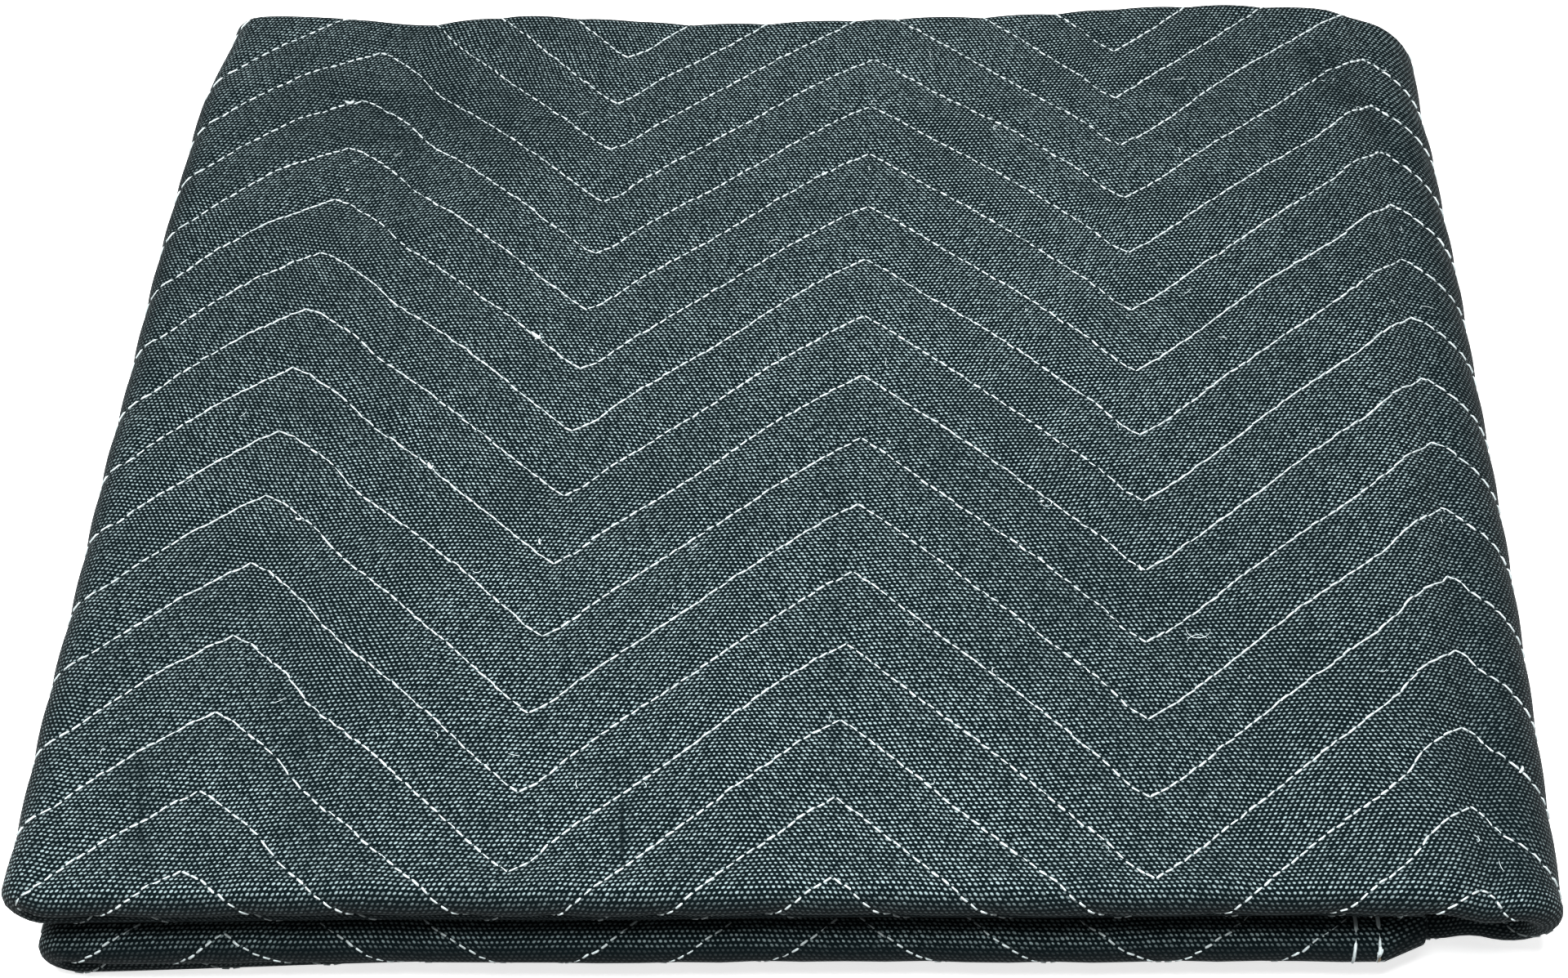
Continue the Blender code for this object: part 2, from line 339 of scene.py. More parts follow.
# Soft creases and puckered patches of the top and bands along its left and right edges, on the ground plan:
# where, how wide and how dark their painted shade is.
CREASE_SHADE_BANDS = (
    # from x, y, to x, y, half width, dark
    (0.0180, -0.010, 0.0226, -0.175, 0.0045, 0.20),
    (-0.0490, -0.172, -0.0460, -0.212, 0.0040, 0.30),
    (-0.2145, -0.172, -0.2010, -0.220, 0.0060, 0.30),
    (-0.1600, -0.150, -0.1500, -0.212, 0.0080, 0.16),
    (-0.2570, -0.190, -0.2615, 0.212, 0.0078, 0.70),
    (0.2145, 0.2030, 0.2221, 0.1861, 0.0036, 0.60),
    (0.2050, 0.1970, 0.2128, 0.1830, 0.0044, 0.52),
    (0.2161, 0.1748, 0.2293, 0.1666, 0.0070, 0.46),
    (0.2330, 0.1600, 0.2400, 0.1350, 0.0050, 0.25),
    (-0.1960, 0.1480, -0.1640, 0.1450, 0.0050, 0.32),
    (-0.1820, 0.1640, -0.1740, 0.1620, 0.0060, 0.26),
    (-0.1550, 0.1760, -0.1520, 0.1670, 0.0050, 0.26),
    (-0.1820, 0.2110, -0.1720, 0.2120, 0.0026, 0.50),
    (-0.2100, 0.1700, -0.1300, 0.1550, 0.0280, 0.20),
    (0.2530, -0.2200, 0.2560, 0.2000, 0.0240, 0.42),
    (0.2640, -0.2200, 0.2590, 0.2050, 0.0052, 0.74),
)


# Hem rows: distance from the hemmed end, whether that is the lower end, how much the row
# leans where it shows, stitch length, and share of a stitch that dips in.
HEM_ROWS = (
    (0.0054, False, 0.30, 0.0062, 0.06),
    (0.0155, False, 0.30, 0.0062, 0.06),
    (0.0165, True, 0.0, 0.0115, 0.04),
    (0.0245, True, 0.0, 0.0105, 0.04),
)
HEM_HOLE = DEEP_AT[1] + 0.0035
HEM_SHOWN = 0.0130
HEM_THREAD = 1.35

# Knot in the lower end's outer hem row: how far below the top of its fold, and its strands'
# headings, lengths and curls. Its tail starts just under it.
KNOT_DOWN = 0.0058
KNOT_STRANDS = ((80, 0.0026, 0.8), (40, 0.0020, 1.2))
KNOT_WIDTH = 0.0019
TAIL_DOWN = 0.0022
TAIL_LENGTH = 0.0024
TAIL_WIDTH = 0.0011


# Knots, nubs and stray fibres of the thread on the top: place on the ground plan, heading,
# length, width, how much it curls, and whether it sits on the nearest seam.
LOOSE_ENDS = (
    (-0.1001, 0.0321, -40, 0.0050, 0.0019, 0.4, True),
    (-0.0990, 0.0310, 50, 0.0030, 0.0010, 1.0, True),
    (-0.1324, -0.0381, -60, 0.0035, 0.0016, 0.8, True),
    (-0.1318, -0.0390, 20, 0.0022, 0.0010, 1.5, True),
    (-0.1773, -0.0621, 10, 0.0034, 0.0011, 3.2, False),
    (-0.0875, -0.0720, -80, 0.0026, 0.0010, 0.6, False),
    (0.1270, -0.0820, -75, 0.0028, 0.0012, 0.5, False),
    (-0.1935, 0.1630, 15, 0.0045, 0.0017, 2.0, True),
    (-0.1925, 0.1650, 70, 0.0028, 0.0009, 2.0, True),
    (0.0930, -0.0520, 20, 0.0016, 0.0011, 1.0, False),
    (0.0474, -0.1082, 80, 0.0070, 0.00028, 6.0, False),
    (0.1440, -0.1130, -15, 0.0130, 0.00030, 2.6, False),
    (0.1445, -0.1120, 5, 0.0090, 0.00028, -2.0, False),
    (0.0950, -0.0540, 30, 0.0100, 0.00028, 4.5, False),
    (-0.1860, 0.1130, 40, 0.0014, 0.0012, 0.5, False),
    (0.2504, -0.1672, 70, 0.0032, 0.0013, 0.8, True),
)
LINT_COUNT = 70
LINT_LENGTH = (0.0012, 0.0055)
LINT_WIDTH = (0.00022, 0.00038)

# Narrow creases of the top, drawn only as painted shadow lines in the weave's colour.
CREASE_SHADOW_LINES = (
    # from x, y, to x, y, half width, dark
    (-0.0484, -0.1800, -0.0462, -0.2080, 0.0013, 0.80),
    (0.0165, -0.1560, 0.0215, -0.1800, 0.0012, 0.45),
    (-0.2120, -0.1780, -0.2060, -0.2050, 0.0014, 0.55),
    (0.0205, -0.0200, 0.0185, -0.1000, 0.0011, 0.25),
)


def step_at(places, values, place):
    """Value of the piece of a section at a place, eased near the piece's ends."""
    found = values[0]
    for at, before, after in zip(places[1:], values, values[1:]):
        found += (after - before) * smooth((place - at) / EASE + 0.5)
    return found


def laid(x, y):
    """Depth on the ground of a place on the top, where the stack's edges wander."""
    back = min(1.0, max(0.0, y / DEPTH + 0.5))
    return y + (1 - back) * along(FRONT_EDGE, x) + back * along(BACK_EDGE, x)


def unlaid(x, y):
    """Depth on the straight stack of a place on the ground."""
    front, back = along(FRONT_EDGE, x), along(BACK_EDGE, x)
    if y < front - DEPTH / 2:
        return y - front
    if y > back + DEPTH / 2:
        return y - back
    return (y - (front + back) / 2) / (1 + (back - front) / DEPTH)


def seam_column(k, row):
    """Place along the flat cloth of a seam row's peak or valley, and how low it is."""
    low = ZIGZAG_DROP * (k % 2)
    if k >= len(SEAM_COLUMNS):
        past = k - len(SEAM_COLUMNS) + 1
        return FIRST_U + k * ZIGZAG_HALF - DRAWN_IN * min(1.0, past / 6), low + along(FAR_DRIFT, k)
    if k < 0:
        return FIRST_U + k * ZIGZAG_HALF, low
    y = FIRST_PEAK_Y - row * SEAM_STEP - low
    _, back, middle, front, *shifts = SEAM_COLUMNS[k]
    x = along(((-0.20, front), (0.0, middle), (0.20, back)), y)
    shift = along(tuple(zip(COLUMN_Y, shifts[::-1])), y)
    return WIDE_AT[2] + x - UPPER_FOLD_X, low + shift


def seam_drop(u, row):
    """How far a seam row has dropped from its peak at a place across the flat cloth."""
    k = math.floor((u - FIRST_U) / ZIGZAG_HALF)
    if u < seam_column(k, row)[0]:
        k -= 1
    elif u > seam_column(k + 1, row)[0]:
        k += 1
    (start, a), (end, b) = seam_column(k, row), seam_column(k + 1, row)
    share = (u - start) / (end - start)
    drop = a + (b - a) * share
    if -1 <= k < len(SEAM_COLUMNS):
        y = FIRST_PEAK_Y - row * SEAM_STEP - drop
        straight = STRAIGHT_SHARE * smooth((y - STRAIGHT_Y) / 0.03) if k == 3 else 0.0
        drop += (1 - straight) * along(SEAM_WANDER[k + 1], share)
        drop += ARCH_SHARE[k + 1] * along(ARCH, y) * 4 * share * (1 - share)
        ending = smooth((1 - share) / 0.3)
        if k == -1:
            drop -= LEFT_RISE * smooth((y + 0.02) / 0.15) * smooth((share - 0.30) / 0.15) * ending
            drop -= CORNER_RISE * smooth(-1 - row) * ending
        elif k == 4:
            drop -= CORNER_RISE * smooth(-row) * smooth(share / 0.1) * ending
    return drop


def nose_slope(u):
    """How flat the rows run round the front fold at a place along the sheet."""
    return along(((WIDE_AT[8], NOSE_SLOPE[0]), (WIDE_AT[9], NOSE_SLOPE[1])), u)


def seam_v(u, row):
    """Where a seam row crosses a line along the flat cloth."""
    x = UPPER_FOLD_X + u - WIDE_AT[2]
    v = DEEP_AT[2] + unlaid(x, FIRST_PEAK_Y - row * SEAM_STEP - seam_drop(u, row)) - NOSE_Y
    beyond = max(0.0, DEEP_AT[2] - v)
    nose = (DEEP_AT[2] - DEEP_AT[1]) / nose_slope(u)
    return v + min(beyond, nose) * (1 - nose_slope(u))


def seam_rows(u, v):
    """Seam rows counted toward the front from the first peak, whole on a seam."""
    beyond = min(max(0.0, DEEP_AT[2] - v), DEEP_AT[2] - DEEP_AT[1])
    v -= beyond * (1 / nose_slope(u) - 1)
    y = laid(UPPER_FOLD_X + u - WIDE_AT[2], NOSE_Y + v - DEEP_AT[2])
    row = (FIRST_PEAK_Y - y) / SEAM_STEP - 1.5
    for _ in range(3):
        row = (FIRST_PEAK_Y - y - seam_drop(u, row)) / SEAM_STEP
    return row


def relief(u, v, height):
    """Rise of the cloth's face between its seams."""
    strength = step_at(WIDE_AT, WIDE_RELIEF, u) * step_at(DEEP_AT, DEEP_RELIEF, v)
    near = abs((seam_rows(u, v) + 0.5) % 1 - 0.5) * 2
    crown = 1 - (1 - near) ** 2.2
    return height * strength * (2 * crown - 1.1)


def shaded(x, y):
    """Painted shade of the creases, puckers and side edges at a place on the ground plan, and how deep they
    are.
    """
    light = 1.0
    for start_x, start_y, end_x, end_y, width, dark in CREASE_SHADE_BANDS:
        run_x, run_y = end_x - start_x, end_y - start_y
        share = ((x - start_x) * run_x + (y - start_y) * run_y) / (run_x ** 2 + run_y ** 2)
        share = min(1.0, max(0.0, share))
        away = math.hypot(x - start_x - share * run_x, y - start_y - share * run_y)
        light *= 1 - dark * math.exp(-(away / width) ** 2)
    return 1 - light


def painted_fold_shade(u, v):
    """Painted shade of the face round a fold, darker where it turns under."""
    if v > DEEP_AT[3] - 1e-6:
        return 0.90 * smooth((v - DEEP_AT[3] + 0.0008) / 0.0024)
    round_nose = (DEEP_AT[2] - v) / (DEEP_AT[2] - DEEP_AT[1])
    if math.cos(turned(WIDE_PATH, u)) > 0:
        round_nose = 1 - round_nose
    if u > WIDE_AT[9]:
        return 0.92 * smooth((round_nose - 0.13) / 0.24)
    return 0.72 * smooth((round_nose - 0.14) / 0.30)


def grid_places(places, steps):
    """Places of the grid lines over the pieces of a section."""
    found = []
    for start, end, step in zip(places, places[1:], steps):
        count = max(1, round((end - start) / step))
        found += [start + (end - start) * k / count for k in range(count)]
    return found + [places[-1]]


# Sizes and colours.


class BlanketSizes(PropertyGroup):
    quilt_height: FloatProperty(
        name="Quilt height", description="Rise of the cloth between seams",
        default=0.00055, min=0.0, max=0.002, precision=5, unit="LENGTH")
    hem_width: FloatProperty(
        name="Hem width", description="Width of the turned hem",
        default=0.028, min=0.010, max=0.050, precision=4, unit="LENGTH")
    hem_rise: FloatProperty(
        name="Hem rise", description="How much thicker the hem is on each side",
        default=0.00022, min=0.0, max=0.001, precision=5, unit="LENGTH")
    crease_depth: FloatProperty(
        name="Crease depth", description="Depth of the deepest crease of the top",
        default=0.0010, min=0.0, max=0.002, precision=4, unit="LENGTH")
    stitch_length: FloatProperty(
        name="Stitch length", description="Length of one quilting stitch",
        default=0.0043, min=0.003, max=0.012, precision=4, unit="LENGTH")
    thread_width: FloatProperty(
        name="Thread width", description="Width of the sewing thread",
        default=0.00090, min=0.0004, max=0.002, precision=5, unit="LENGTH")
    weave_across: FloatProperty(
        name="Weave across", description="Distance between floats along a row of the weave",
        default=0.00177, min=0.0008, max=0.004, precision=5, unit="LENGTH")
    weave_along: FloatProperty(
        name="Weave along", description="Distance between rows of the weave",
        default=0.00160, min=0.0008, max=0.004, precision=5, unit="LENGTH")
    floor_size: FloatProperty(
        name="Floor size", description="Side of the pale floor",
        default=24.0, min=2.0, max=40.0, unit="LENGTH")


class BlanketColours(PropertyGroup):
    yarn: FloatVectorProperty(
        name="Yarn", description="Colour of the yarn where it catches light",
        default=(0.322, 0.402, 0.415), size=3, min=0.0, max=1.0, subtype="COLOR")
    shade: FloatVectorProperty(
        name="Shade", description="Colour between the yarns",
        default=(0.0024, 0.0098, 0.0122), size=3, min=0.0, max=1.0, subtype="COLOR")
    thread: FloatVectorProperty(
        name="Thread", description="Colour of the sewing thread",
        default=(0.68, 0.76, 0.77), size=3, min=0.0, max=1.0, subtype="COLOR")
    tail: FloatVectorProperty(
        name="Thread tail", description="Colour of the loose end at the hem",
        default=(0.46, 0.36, 0.22), size=3, min=0.0, max=1.0, subtype="COLOR")
    ground: FloatVectorProperty(
        name="Floor", description="Colour of the floor",
        default=(0.88, 0.88, 0.88), size=3, min=0.0, max=1.0, subtype="COLOR")


# Materials.


def new_material(name):
    """Material with its shader, and a maker of linked nodes."""
    material = bpy.data.materials.new(name)
    material.use_nodes = True
    nodes = material.node_tree.nodes
    links = material.node_tree.links

    def node(kind, settings=(), **inputs):
        made = nodes.new(kind)
        for key, value in settings:
            setattr(made, key, value)
        for key, value in inputs.items():
            slot = made.inputs[int(key[1:])] if key[1:].isdigit() else made.inputs[key.replace("_", " ")]
            if isinstance(value, bpy.types.NodeSocket):
                links.new(value, slot)
            else:
                slot.default_value = value
        return made

    return material, nodes["Principled BSDF"], node, links


def maths(node, operation, a, b=0.0, c=0.0, clamp=False):
    """Result of one sum of the material."""
    settings = (("operation", operation), ("use_clamp", clamp))
    return node("ShaderNodeMath", settings, i0=a, i1=b, i2=c).outputs[0]


def ramp(node, value, low, high, out_low=0.0, out_high=1.0):
    """Eased change between two values."""
    made = node("ShaderNodeMapRange", (("interpolation_type", "SMOOTHSTEP"),))
    made.inputs["From Min"].default_value = low
    made.inputs["From Max"].default_value = high
    made.inputs["To Min"].default_value = out_low
    made.inputs["To Max"].default_value = out_high
    made.id_data.links.new(value, made.inputs["Value"])
    return made.outputs["Result"]


def noise(node, place, scale, detail=2.0, rough=0.5):
    """Value of a noise pattern."""
    made = node(
        "ShaderNodeTexNoise", (("noise_dimensions", "3D"),),
        Vector=place, Scale=scale, Detail=detail, Roughness=rough)
    return made.outputs["Fac"]


def crease_shadow_line(node, x, y, end_x, end_y, width, dark):
    """Share of light left by a narrow crease of the top."""
    spot = node("ShaderNodeSeparateXYZ", Vector=node("ShaderNodeTexCoord").outputs["Object"])
    share = maths(node, "SUBTRACT", spot.outputs[1], y - BOX_MIDDLE[1])
    share = maths(node, "DIVIDE", share, end_y - y, clamp=True)
    middle = maths(node, "MULTIPLY_ADD", share, end_x - x, x - BOX_MIDDLE[0])
    away = maths(node, "ABSOLUTE", maths(node, "SUBTRACT", spot.outputs[0], middle))
    reach = maths(node, "MULTIPLY", ramp(node, share, 0.0, 0.25), ramp(node, share, 1.0, 0.75))
    reach = maths(node, "MULTIPLY", reach, ramp(node, away, width, 0.0))
    return maths(node, "MULTIPLY_ADD", reach, -dark, 1.0)


def woven_cloth(sizes, colours):
    """Coarse charcoal weave: slanted yarn floats in staggered rows, pinched at the seams."""
    material, shader, node, links = new_material("charcoal_weave")
    place = node("ShaderNodeUVMap", (("uv_map", "cloth"),)).outputs["UV"]
    spot = node("ShaderNodeSeparateXYZ", Vector=place)
    across = maths(node, "MULTIPLY", spot.outputs[0], 2.0 / sizes.weave_across)
    upward = maths(node, "MULTIPLY", spot.outputs[1], 2.0 / sizes.weave_along)

    # Yarns don't run quite straight.
    drift = noise(node, place, 26.0, 2.0)
    across = maths(node, "ADD", across, maths(node, "MULTIPLY", drift, 3.5))
    drift = noise(node, place, 21.0, 2.0)
    upward = maths(node, "ADD", upward, maths(node, "MULTIPLY", drift, 3.0))

    # Rows are half a step apart, and each float leans one way or the other.
    floats = []
    for lean in (0.5, -0.5):
        slanted = maths(node, "MULTIPLY_ADD", upward, lean, across)
        cell = node("ShaderNodeCombineXYZ", X=slanted, Y=upward)
        dots = node(
            "ShaderNodeTexVoronoi", (("voronoi_dimensions", "2D"), ("feature", "F1")),
            Vector=cell.outputs[0], Scale=1.0, Randomness=0.16)
        floats.append(dots)
    side = ramp(node, noise(node, place, 7.0, 3.0), 0.48, 0.52)
    reach = node(
        "ShaderNodeMix", (("data_type", "FLOAT"),), i0=side,
        i2=floats[0].outputs["Distance"], i3=floats[1].outputs["Distance"]).outputs[0]
    tint = node(
        "ShaderNodeMix", (("data_type", "RGBA"),), i0=side,
        i6=floats[0].outputs["Color"], i7=floats[1].outputs["Color"]).outputs[2]
    chance = node("ShaderNodeSeparateColor", Color=tint)
    size = maths(node, "MULTIPLY_ADD", chance.outputs[0], 0.12, 0.27)
    dot = maths(node, "DIVIDE", reach, size)
    dot = ramp(node, dot, 1.10, 0.50)

    # Tone: patches that differ at random, single bright and dull yarns, and painted shade at the seams, in
    # the creases and round the folds.
    patches = ramp(node, noise(node, place, 9.0, 4.0, 0.6), 0.32, 0.70, 0.80, 1.12)
    fine = ramp(node, noise(node, place, 90.0, 3.0, 0.6), 0.30, 0.70, 0.88, 1.08)
    single = maths(node, "MULTIPLY_ADD", chance.outputs[1], 0.55, 0.66)
    tone = maths(node, "MULTIPLY", maths(node, "MULTIPLY", patches, fine), single)

    # At the seams the cloth is pinched: the pinch darkens the colour as painted shade in the seam's valley,
    # and dents the bump below.
    rows = node("ShaderNodeAttribute", (("attribute_name", "seam_rows"),)).outputs["Fac"]
    from_seam = maths(node, "PINGPONG", maths(node, "ABSOLUTE", rows), 0.5)
    pinch_and_shade = ramp(node, from_seam, 0.085, 0.0)
    tone = maths(node, "MULTIPLY", tone, maths(node, "MULTIPLY_ADD", pinch_and_shade, -0.35, 1.0))
    # Painted shade of the creases, edges and folds, from the cloth's shaded layer.
    painted_shade = node("ShaderNodeAttribute", (("attribute_name", "shaded"),)).outputs["Fac"]
    tone = maths(node, "MULTIPLY", tone, maths(node, "SUBTRACT", 1.0, painted_shade))

    for x, y, end_x, end_y, width, dark in CREASE_SHADOW_LINES:
        tone = maths(node, "MULTIPLY", tone, crease_shadow_line(node, x, y, end_x, end_y, width, dark))

    # The floats take the yarn colour as a painted highlight and the colour between them is painted shade; the
    # staggered pattern of floats is the weave's own.
    bright = maths(node, "MULTIPLY", dot, tone)
    colour = node(
        "ShaderNodeMix", (("data_type", "RGBA"), ("clamp_factor", True)), i0=bright,
        i6=(*colours.shade, 1.0), i7=(*colours.yarn, 1.0)).outputs[2]
    links.new(colour, shader.inputs["Base Color"])
    links.new(ramp(node, dot, 0.0, 1.0, 0.95, 0.62), shader.inputs["Roughness"])
    shader.inputs["Specular IOR Level"].default_value = 0.15
    shader.inputs["Sheen Weight"].default_value = 0.05
    shader.inputs["Sheen Roughness"].default_value = 0.5

    pucker = noise(node, place, 150.0, 2.0)
    pull = ramp(node, from_seam, 0.30, 0.02)
    lift = maths(node, "MULTIPLY", maths(node, "MULTIPLY", pucker, pull), 0.5)
    lift = maths(node, "MULTIPLY_ADD", dot, 0.55, lift)
    lift = maths(node, "MULTIPLY_ADD", pinch_and_shade, -0.9, lift)
    bump = node("ShaderNodeBump", Strength=0.55, Distance=0.0005, Height=lift)
    links.new(bump.outputs[0], shader.inputs["Normal"])
    return material


def sewing_thread(name, colour):
    """Twisted, slightly dusty thread."""
    material, shader, node, links = new_material(name)
    place = node("ShaderNodeTexCoord").outputs["Object"]
    grime = ramp(node, noise(node, place, 160.0, 3.0), 0.30, 0.62, 0.62, 1.0)
    grain = ramp(node, noise(node, place, 2600.0, 2.0), 0.30, 0.70, 0.82, 1.05)
    tone = maths(node, "MULTIPLY", grime, grain)
    mixed = node(
        "ShaderNodeMix", (("data_type", "RGBA"), ("clamp_factor", True)), i0=tone,
        i6=(*(0.25 * c for c in colour), 1.0), i7=(*colour, 1.0)).outputs[2]
    links.new(mixed, shader.inputs["Base Color"])
    shader.inputs["Roughness"].default_value = 0.7
    shader.inputs["Sheen Weight"].default_value = 0.1
    bump = node("ShaderNodeBump", Strength=0.4, Distance=0.0001, Height=noise(node, place, 3000.0, 2.0))
    links.new(bump.outputs[0], shader.inputs["Normal"])
    return material


def plain_floor(colour):
    """Matt, nearly white floor."""
    material, shader, node, links = new_material("pale_floor")
    place = node("ShaderNodeTexCoord").outputs["Object"]
    tone = ramp(node, noise(node, place, 3.0, 3.0), 0.2, 0.8, 0.97, 1.0)
    mixed = node(
        "ShaderNodeMix", (("data_type", "RGBA"),), i0=tone,
        i6=(0.0, 0.0, 0.0, 1.0), i7=(*colour, 1.0)).outputs[2]
    links.new(mixed, shader.inputs["Base Color"])
    shader.inputs["Roughness"].default_value = 0.9
    shader.inputs["Emission Color"].default_value = (1.0, 1.0, 1.0, 1.0)
    shader.inputs["Emission Strength"].default_value = 0.75
    return material


# Pieces.


def stand(name, shape, material):
    """Finished object from a bmesh."""
    mesh = bpy.data.meshes.new(name)
    shape.to_mesh(mesh)
    shape.free()
    made = bpy.data.objects.new(name, mesh)
    bpy.context.scene.collection.objects.link(made)
    mesh.materials.append(material)
    for face in mesh.polygons:
        face.use_smooth = True
    return made


def dress(piece):
    """The piece goes with the blanket."""
    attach(piece, "root")


class BLANKET_OT_cloth(Operator):
    """Weave the flat cloth with its hem and fold it into the stack"""

    bl_idname = "blanket.cloth"
    bl_label = "Folded cloth"

    def execute(self, context):
        sizes = context.scene.blanket_sizes
        colours = context.scene.blanket_colours
        wide = grid_places(WIDE_AT, WIDE_STEPS)
        deep = grid_places(DEEP_AT, DEEP_STEPS)
        shape = bmesh.new()
        bmesh.ops.create_grid(
            shape, x_segments=len(wide) - 1, y_segments=len(deep) - 1, size=0.5)
        for vert in shape.verts:
            column = round((vert.co.x + 0.5) * (len(wide) - 1))
            row = round((vert.co.y + 0.5) * (len(deep) - 1))
            vert.co = (wide[column], deep[row], CLOTH / 2)

        # Thickness, then a rounded rim.
        lower = bmesh.ops.extrude_face_region(shape, geom=shape.faces[:], use_keep_orig=True)
        for item in lower["geom"]:
            if isinstance(item, bmesh.types.BMVert):
                item.co.z = -CLOTH / 2
        bmesh.ops.recalc_face_normals(shape, faces=shape.faces)
        rim = [
            edge for edge in shape.edges
            if len(edge.link_faces) == 2 and edge.calc_face_angle() > 1.0
            and abs(edge.verts[0].co.z - edge.verts[1].co.z) < 1e-6]
        bmesh.ops.bevel(
            shape, geom=rim, offset=RIM, offset_type="OFFSET", segments=2, profile=0.5,
            affect="EDGES", material=-1, clamp_overlap=True)

        # The flat place stays with every point, for the weave and the seams.
        cloth_map = shape.loops.layers.uv.new("cloth")
        rows = shape.verts.layers.float.new("seam_rows")
        painted_shade_layer = shape.verts.layers.float.new("shaded")
        for face in shape.faces:
            half_turns = round(turned(WIDE_PATH, face.calc_center_median().x) / math.pi)
            for loop in face.loops:
                u, v, w = loop.vert.co
                _, n, _, up = follow(DEEP_START, math.pi, DEEP_PATH, v)
                slip = (n + w * up) * (turned(WIDE_PATH, u) - half_turns * math.pi)
                loop[cloth_map].uv = ((u - slip) / 2, (v - w * turned(DEEP_PATH, v)) / 2)
        for vert in shape.verts:
            u, v, w = vert.co
            vert[rows] = seam_rows(u, v) + ROW_BASE
            edge = min(u, v, WIDE_LENGTH - u, DEEP_LENGTH - v)
            hem = 1 - smooth((edge - sizes.hem_width) / HEM_EASE + 0.5)
            w *= 1 + 2 * sizes.hem_rise * hem / CLOTH
            if w > 0:
                w += relief(u, v, sizes.quilt_height)
            place = folded(u, v, w)
            # The top and the right fold take the painted shade of the creases and edges, which also sinks
            # them a little; the faces round the folds take the painted fold shade.
            if w > 0 and (on_top(u, v) or WIDE_AT[5] <= u < WIDE_AT[6] and DEEP_AT[2] < v < DEEP_AT[3]):
                vert[painted_shade_layer] = shaded(place.x + BOX_MIDDLE[0], place.y + BOX_MIDDLE[1])
                place.z -= sizes.crease_depth * vert[painted_shade_layer]
            elif w > 0:
                vert[painted_shade_layer] = painted_fold_shade(u, v)
            vert.co = place
        bmesh.ops.recalc_face_normals(shape, faces=shape.faces)

        cloth = stand("quilted_blanket", shape, woven_cloth(sizes, colours))
        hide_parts("folded_blanket")
        dress(cloth)
        return {"FINISHED"}


def on_top(u, v):
    """Whether a place on the cloth's face is on the top of the stack or its left edge."""
    return WIDE_AT[2] - LEFT_EDGE_ROUND < u < WIDE_AT[5] and DEEP_AT[2] < v < DEEP_AT[3]


def spot_on_top(x, y):
    """Place on the flat cloth of a place on the ground plan of the top."""
    u, v = WIDE_AT[2] + x - UPPER_FOLD_X, DEEP_AT[2] + y - NOSE_Y
    for _ in range(4):
        found = folded(u, v, CLOTH / 2)
        u += x - BOX_MIDDLE[0] - found.x
        v += y - BOX_MIDDLE[1] - found.y
    return u, v


def exposed(u, v):
    """Whether a place on the cloth's face can be seen on the folded stack."""
    nose = DEEP_AT[1] - 0.010 < v < DEEP_AT[2] + 0.012
    back = DEEP_AT[3] - 0.008 < v < DEEP_AT[4] + 0.002
    outside = WIDE_AT[1] - 0.004 < u < WIDE_AT[10] + 0.004 and DEEP_AT[1] < v < DEEP_AT[4]
    opening = WIDE_AT[3] - 0.030 < u < WIDE_AT[8] + 0.030 and DEEP_AT[1] - 0.070 < v < DEEP_AT[1]
    return nose or back or outside or opening


def looseness(u, v, slack):
    """Share of a stitch that dips into the cloth, and its thickness, at a place on the cloth."""
    x, y = UPPER_FOLD_X + u - WIDE_AT[2], NOSE_Y + v - DEEP_AT[2]
    if not on_top(u, v):
        return 0.20, 1.0
    back_left = smooth((y - 0.09) / 0.07) * smooth((-0.180 - x) / 0.03)
    left = 0.35 * smooth((-0.215 - x) / 0.02)
    back_right = smooth((x - 0.222) / 0.012) * smooth((y - 0.06) / 0.08)
    front = 0.22 * smooth((-0.13 - y) / 0.06)
    back = smooth((y - 0.03) / 0.10)
    dips = max(0.24 * max(back_left, left, front), 0.38 * back_right, slack * (0.07 + 0.20 * back))
    return 0.006 + dips, 1.0 + 0.35 * back_right + 0.20 * front


def sew(curve, holes, sizes, chance, width=1.0, gap=None):
    """Stitches between needle holes given on the flat cloth, each dipping in at its ends."""
    for (ua, va, slack), (ub, vb, _) in zip(holes, holes[1:]):
        length = math.hypot(ub - ua, vb - va)
        if not exposed((ua + ub) / 2, (va + vb) / 2) or length < 0.0005:
            continue
        side_u, side_v = -(vb - va) / length, (ub - ua) / length
        lean = [chance.gauss(0.0, 0.00017) for _ in range(3)]
        loose, thick = looseness((ua + ub) / 2, (va + vb) / 2, slack)
        short = (loose if gap is None else gap) * (0.45 + 0.9 * chance.random())
        radius = sizes.thread_width / 2 * width * thick * (0.84 + 0.30 * chance.random())
        tight = 1 - min(1.0, short / 0.05)
        spline = curve.splines.new("POLY")
        tip = (0.55 + 0.33 * tight, -0.9 + 1.15 * tight)
        bends = max(1, round(length / 0.0035))
        body = [(0.2 + 0.6 * bend / bends, 1.0, 0.34) for bend in range(bends + 1)]
        profile = [(0.0, *tip), *body, (1.0, *tip)]
        spline.points.add(len(profile) - 1)
        for point, (share, girth, height) in zip(spline.points, profile):
            t = short / 2 + (1 - short) * share
            off = lean[0] * (1 - share) + lean[1] * share + lean[2] * 4 * share * (1 - share)
            u = ua + (ub - ua) * t + side_u * off
            v = va + (vb - va) * t + side_v * off
            place = folded(u, v, CLOTH / 2 + relief(u, v, sizes.quilt_height) + height * radius)
            if on_top(u, v):
                place.z -= sizes.crease_depth * shaded(place.x + BOX_MIDDLE[0], place.y + BOX_MIDDLE[1])
            point.co = (*place, 1.0)
            point.radius = radius * girth


def thread_curve(name):
    """Empty curve whose splines are as thick as their points say."""
    curve = bpy.data.curves.new(name, "CURVE")
    curve.dimensions = "3D"
    curve.bevel_depth = 1.0
    curve.bevel_resolution = 0
    curve.use_fill_caps = True
    return curve


